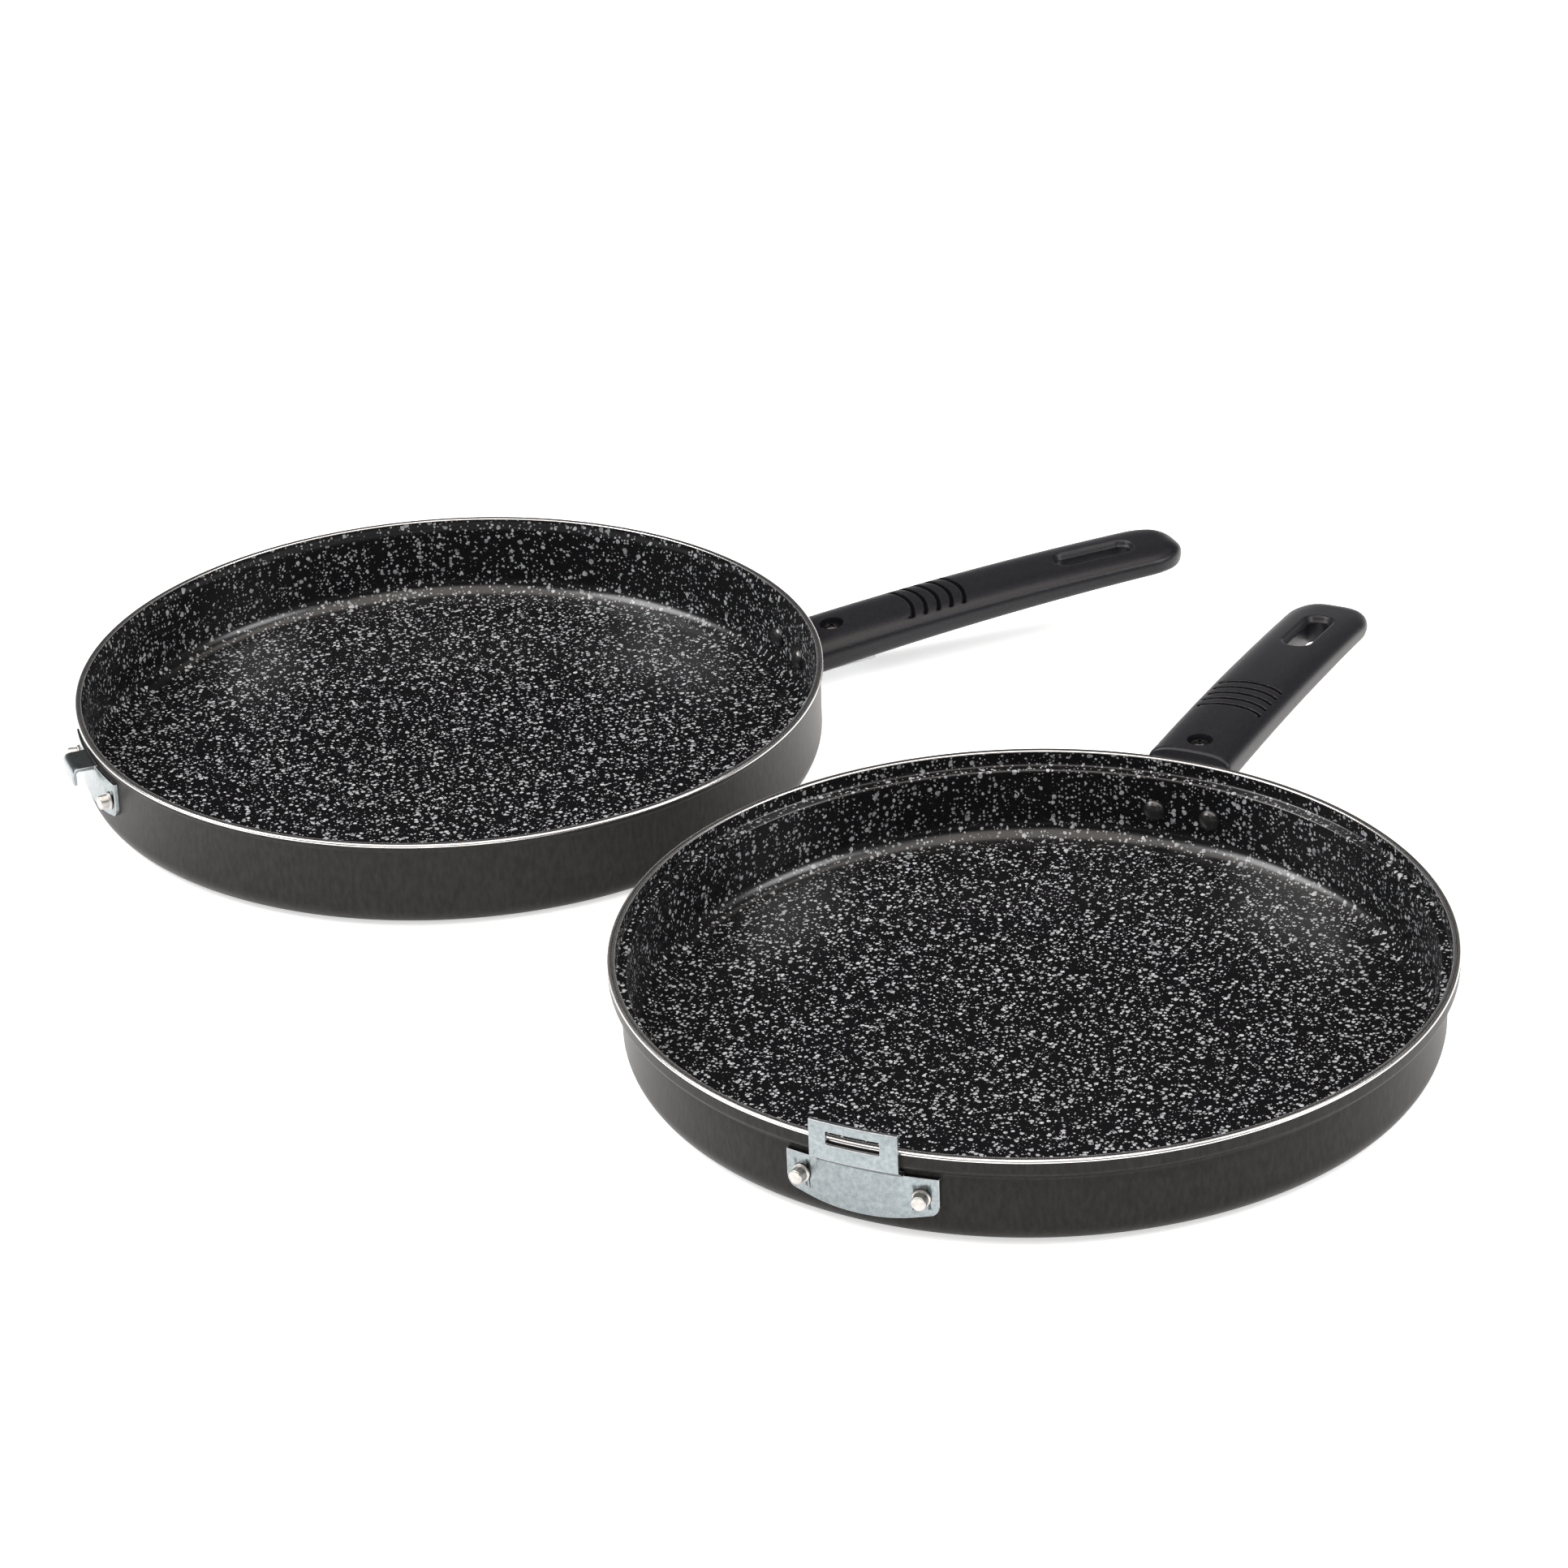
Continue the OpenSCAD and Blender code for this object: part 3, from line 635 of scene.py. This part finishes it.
def rows_of_points(bm, root_r, line, lean):
    """The rows as (top points, underside points, which of them lie in a groove)."""

    def at(u, v, z):
        x = WALL_LINE + u * math.cos(lean) - z * math.sin(lean)
        up = line + u * math.sin(lean) + z * math.cos(lean)
        return bm.verts.new((x * MM, v * MM, up * MM))

    def fitted(u, v, z):
        """u, drawn towards the round wall at the root and left alone further out."""
        reach = math.sqrt(root_r ** 2 - v * v) - WALL_LINE
        wall = (reach + z * math.sin(lean)) / math.cos(lean)
        return u + (wall - root_u) * max(0, 1 - (u - root_u) / ROOT_FIT)

    rows = []
    root_u = root_r - WALL_LINE
    root_rows = [root_u + step for step in ROOT_STEPS]
    for row_u in root_rows + [s for s in STATIONS if s > root_u + ROOT_CLEAR]:
        top_row, low_row, shades = [], [], []
        for x in ACROSS:
            half, top, low_half, low = moulding(row_u, x)
            u, v = fitted(row_u, half * x, top), half * x
            easing = ROOT_DROP * max(0, 1 - (row_u - root_u) / ROOT_EASE) ** 2
            top_row.append(at(u, v, top - carving(u, v) - easing))
            shades.append(grooving(u, v) > IN_GROOVE)
            u, v = fitted(row_u, low_half * x, low), low_half * x
            pocket = (soft_step((POCKET_END - u) / POCKET_SLOPE)
                      * soft_step((POCKET_HALF_W - abs(v)) / POCKET_SLOPE))
            low_row.append(at(u, v, low + pocket * max(0, POCKET_DEPTH - ROOT_T - low)))
        rows.append((top_row, low_row, shades))
    return rows


# %% Faces between the rows
CLEAR = 30  # a cutter reaches this far, well clear of the handle


def sew(bm, rows):
    """Skins the top, the underside, the two sides and both ends."""
    gaps = range(len(ACROSS) - 1)
    for (top_a, low_a, shade_a), (top_b, low_b, shade_b) in zip(rows, rows[1:]):
        for k in gaps:
            skin = bm.faces.new((top_a[k], top_b[k], top_b[k + 1], top_a[k + 1]))
            shaded = shade_a[k] + shade_b[k] + shade_a[k + 1] + shade_b[k + 1]
            # A groove face gets the finish whose darker colour is painted shade.
            skin.material_index = int(shaded > 1)
            bm.faces.new((low_a[k + 1], low_b[k + 1], low_b[k], low_a[k]))
        for k in (0, -1):
            bm.faces.new((top_a[k], low_a[k], low_b[k], top_b[k]))
    for top_row, low_row, _ in (rows[0], rows[-1]):
        for k in gaps:
            bm.faces.new((top_row[k], top_row[k + 1], low_row[k + 1], low_row[k]))


def handle_moulding(name, root_r, line, slope):
    """One handle in its half's frame; slope is the rise towards the tip, in degrees."""
    lean = math.radians(slope)
    bm = bmesh.new()
    sew(bm, rows_of_points(bm, root_r, line, lean))
    piece = mesh_object(name, bm, [phenolic, groove_painted_shade], sharp=CRISP)
    for cutter in (stadium("hole", HANG_MID, HANG_HALF, HANG_R, -CLEAR, CLEAR),
                   stadium("seat", SCREW_U, 0.01, SEAT_R, -SEAT_DEPTH, CLEAR)):
        cutter.matrix_world = (Matrix.Translation((WALL_LINE * MM, 0, line * MM))
                               @ Matrix.Rotation(-lean, 4, "Y"))
        cut(piece, cutter)
    piece.data.set_sharp_from_angle(angle=math.radians(CRISP))
    return piece


# %% [markdown]
# ### Both handles
# Closed, the two handles face each other, bow to bow, with a small gap
# between them. The underside of the slot half's handle starts just below
# the flare. The other handle's height follows from that, and one slopes
# down as much as the other slopes up. A line is the height of a handle's
# top at the wall.

# %% Both handles
SLOPE = 3.5  # degrees of the handle against the table
ROOT_GAP = 0.3  # between the handle and the wall
CLOSED_DROP = 5.3  # how far the hook half's rim goes down into the lip
GRIP_GAP = 0.4  # between the closed handles
UNDER_FLARE = 0.7  # from the start of the flare down to the handle's underside
SLOT_LINE = FLARE_Z - UNDER_FLARE + ROOT_T
bows_and_gap = (2 * BOW + GRIP_GAP) / math.cos(math.radians(SLOPE))
HOOK_LINE = HOOK_H - (SLOT_LINE - SLOT_H + CLOSED_DROP + bows_and_gap)
slot_grip = handle_moulding("slot_handle_grip", LIP_R + ROOT_GAP, SLOT_LINE, -SLOPE)
set_down(slot_grip, slot_half, "slot_half")
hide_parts("slot_handle")
hook_grip = handle_moulding("hook_handle_grip", HOOK_WALL_R + ROOT_GAP, HOOK_LINE, SLOPE)
set_down(hook_grip, hook_half, "hook_half")
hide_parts("hook_handle")
print("handles:", len(slot_grip.data.polygons), "and", len(hook_grip.data.polygons), "faces")

# %% [markdown]
# ## The small parts
# The plates, rivets, brackets and screws keep their CAD solids, which have
# the right shape. They get their finish, and all but the coated rivets get
# a Weld and a Bevel modifier that break each sharp edge a little, so that
# it catches the light as a punched or turned edge does.

# %% Finishes and broken edges on the CAD solids
CARRIED = {
    "plate": (zinc, "catch_plate", 0.15),
    "plate_rivet_left": (rivet_metal, "catch_rivets", 0.15),
    "plate_rivet_right": (rivet_metal, "catch_rivets", 0.15),
    "bracket": (bracket_steel, "bracket", 0.2),
    "bracket_rivet_left": (coated, "bracket_rivets", 0.0),
    "bracket_rivet_right": (coated, "bracket_rivets", 0.0),
    "handle_screw": (screw_black, "screw", 0.1),
}


SAME_POINT_MM = 0.005  # points nearer than this are welded
EDGE_ANGLE = 40  # degrees; only sharper edges are broken


def break_edges(solid, width_mm):
    """Rounds the sharp edges; zinc plates show their cut-edge finish there."""
    weld = solid.modifiers.new("one_skin", "WELD")
    weld.merge_threshold = SAME_POINT_MM * MM
    broken = solid.modifiers.new("broken_edge", "BEVEL")
    broken.width = width_mm * MM
    broken.segments = 2
    broken.use_clamp_overlap = False
    broken.limit_method = "ANGLE"
    broken.angle_limit = math.radians(EDGE_ANGLE)
    broken.harden_normals = True
    broken.material = 1 if len(solid.data.materials) > 1 else -1


for half_name in ("slot", "hook"):
    for kind, (look, slot, edge_mm) in CARRIED.items():
        solid = nodes[f"{half_name}_{kind}"]
        solid.data.materials.clear()
        solid.data.materials.append(look)
        if look is zinc:
            solid.data.materials.append(zinc_edge)
        if edge_mm:
            break_edges(solid, edge_mm)
print("small parts:", 2 * len(CARRIED), "CAD solids with a finish")

# %% [markdown]
# ## Light, floor and camera
# The pans stand on a white floor in soft, even light. The floor is white
# because it adds a little light of its own to what the camera sees; it
# stays a plain surface for the lamps, so the pans keep their shadow.
# Glossy surfaces see the horizon white and the ceiling dark, as in a
# studio, which gives dark metal its soft gradients.

# %% The studio's surroundings
AMBIENT = 0.45  # what reaches matt surfaces from all round
HORIZON, CEILING = 0.06, 0.26  # where white turns to dark, as heights from 0 to 1
CEILING_LEVEL = 0.03

scene = bpy.context.scene
scene.view_settings.view_transform = "Standard"


def brighter(tree, one, other):
    """The larger of two values."""
    most = tree.nodes.new("ShaderNodeMath")
    most.operation = "MAXIMUM"
    tree.links.new(one, most.inputs[0])
    tree.links.new(other, most.inputs[1])
    return most.outputs[0]


def seen_directly(tree):
    """1 for rays from the camera, from mirror reflections and through glass."""
    path = tree.nodes.new("ShaderNodeLightPath")
    total = path.outputs["Is Camera Ray"]
    for kind in ("Is Glossy Ray", "Is Transmission Ray"):
        total = brighter(tree, total, path.outputs[kind])
    return total


world = bpy.data.worlds.new("studio")
scene.world = world
world.use_nodes = True
tree = world.node_tree
where = tree.nodes.new("ShaderNodeTexCoord")
height = tree.nodes.new("ShaderNodeSeparateXYZ")
tree.links.new(where.outputs["Generated"], height.inputs["Vector"])
ceiling = tree.nodes.new("ShaderNodeMapRange")
ceiling.inputs["From Min"].default_value = HORIZON
ceiling.inputs["From Max"].default_value = CEILING
ceiling.inputs["To Min"].default_value = 1.0
ceiling.inputs["To Max"].default_value = CEILING_LEVEL
tree.links.new(height.outputs["Z"], ceiling.inputs["Value"])
path = tree.nodes.new("ShaderNodeLightPath")
white_to_camera = brighter(tree, ceiling.outputs["Result"], path.outputs["Is Camera Ray"])
level = tree.nodes.new("ShaderNodeMix")
level.inputs["A"].default_value = AMBIENT
tree.links.new(seen_directly(tree), level.inputs["Factor"])
tree.links.new(white_to_camera, level.inputs["B"])
tree.links.new(level.outputs["Result"], tree.nodes["Background"].inputs["Strength"])
tree.nodes["Background"].inputs["Color"].default_value = (1, 1, 1, 1)
print("ambient light", AMBIENT)

# %% The floor
FLOOR_HALF = 5  # metres, far past what the camera sees
FLOOR_GLOW = 0.6
bm = bmesh.new()
bmesh.ops.create_grid(bm, x_segments=1, y_segments=1, size=FLOOR_HALF)
white_floor, tree, shader = finish("studio_floor", (0.8, 0.8, 0.8), 0.9, shine=0.0)
glow = tree.nodes.new("ShaderNodeEmission")
both = tree.nodes.new("ShaderNodeAddShader")
strength = tree.nodes.new("ShaderNodeMath")
strength.operation = "MULTIPLY"
strength.inputs[1].default_value = FLOOR_GLOW
tree.links.new(seen_directly(tree), strength.inputs[0])
tree.links.new(strength.outputs[0], glow.inputs["Strength"])
tree.links.new(shader.outputs[0], both.inputs[0])
tree.links.new(glow.outputs[0], both.inputs[1])
tree.links.new(both.outputs[0], tree.nodes["Material Output"].inputs["Surface"])
floor = mesh_object("studio_floor", bm, [white_floor])
print("the floor is", 2 * FLOOR_HALF, "m wide")

# %% [markdown]
# ### Lamps
# A wide softbox overhead gives the pans their even light and the soft,
# warm band round the far corner of each floor. Two smaller ones stand to
# the left and right of the pans, as the camera sees them, and light the
# walls, plates and handles. Area lamps suit best: their reflections have
# the shape of a real studio's softboxes.

# %% Lamps
def softbox(name, spot, aim, size, watts, tint=(1, 1, 1), turn=0):
    """A rectangular lamp at spot, aimed at aim and turned about its own axis."""
    lamp = bpy.data.lights.new(name, "AREA")
    lamp.shape = "RECTANGLE"
    lamp.size, lamp.size_y = size
    lamp.energy = watts
    lamp.color = tint
    stand = bpy.data.objects.new(name, lamp)
    scene.collection.objects.link(stand)
    stand.location = spot
    facing = (Vector(aim) - Vector(spot)).to_track_quat("-Z", "Y").to_matrix()
    stand.rotation_euler = (facing @ Matrix.Rotation(math.radians(turn), 3, "Z")).to_euler()


middle = (-0.149, 0.05, 0)
softbox("softbox_top", (0.07, -0.15, 1.4), (0.07, -0.15, 0), (2.4, 1.5), 32,
        tint=(1, 0.93, 0.86), turn=-42)
softbox("softbox_left", (-0.95, -0.9, 1.25), middle, (1.0, 0.8), 28)
softbox("softbox_right", (1.2, 0.9, 1.3), middle, (0.8, 0.8), 20)

# %% [markdown]
# ### Camera
# The camera repeats the photograph's: a long lens, some 27 degrees above
# the table and rolled a little. Its three axes are worked out from the
# angles, and together they are the camera's matrix.

# %% Camera
AZIMUTH, ELEVATION, ROLL = 47.89, 27.17, -2.25
LENS_MM, SENSOR_MM = 124.8, 36
CAMERA_SPOT = (1.1075, -1.1083, 0.8984)
camera = bpy.data.cameras.new("photo_camera")
camera.lens = LENS_MM
camera.sensor_width = SENSOR_MM
viewer = bpy.data.objects.new("photo_camera", camera)
scene.collection.objects.link(viewer)
a, e, roll = (math.radians(v) for v in (AZIMUTH, ELEVATION, ROLL))
right = Vector((math.cos(a), math.sin(a), 0))
back = Vector((math.sin(a) * math.cos(e), -math.cos(a) * math.cos(e), math.sin(e)))
up = back.cross(right)
right_rolled = right * math.cos(roll) + up * math.sin(roll)
up_rolled = up * math.cos(roll) - right * math.sin(roll)
viewer.matrix_world = Matrix.Translation(CAMERA_SPOT) @ Matrix(
    (right_rolled, up_rolled, back)).transposed().to_4x4()
scene.camera = viewer
print("camera:", LENS_MM, "mm lens at", CAMERA_SPOT)
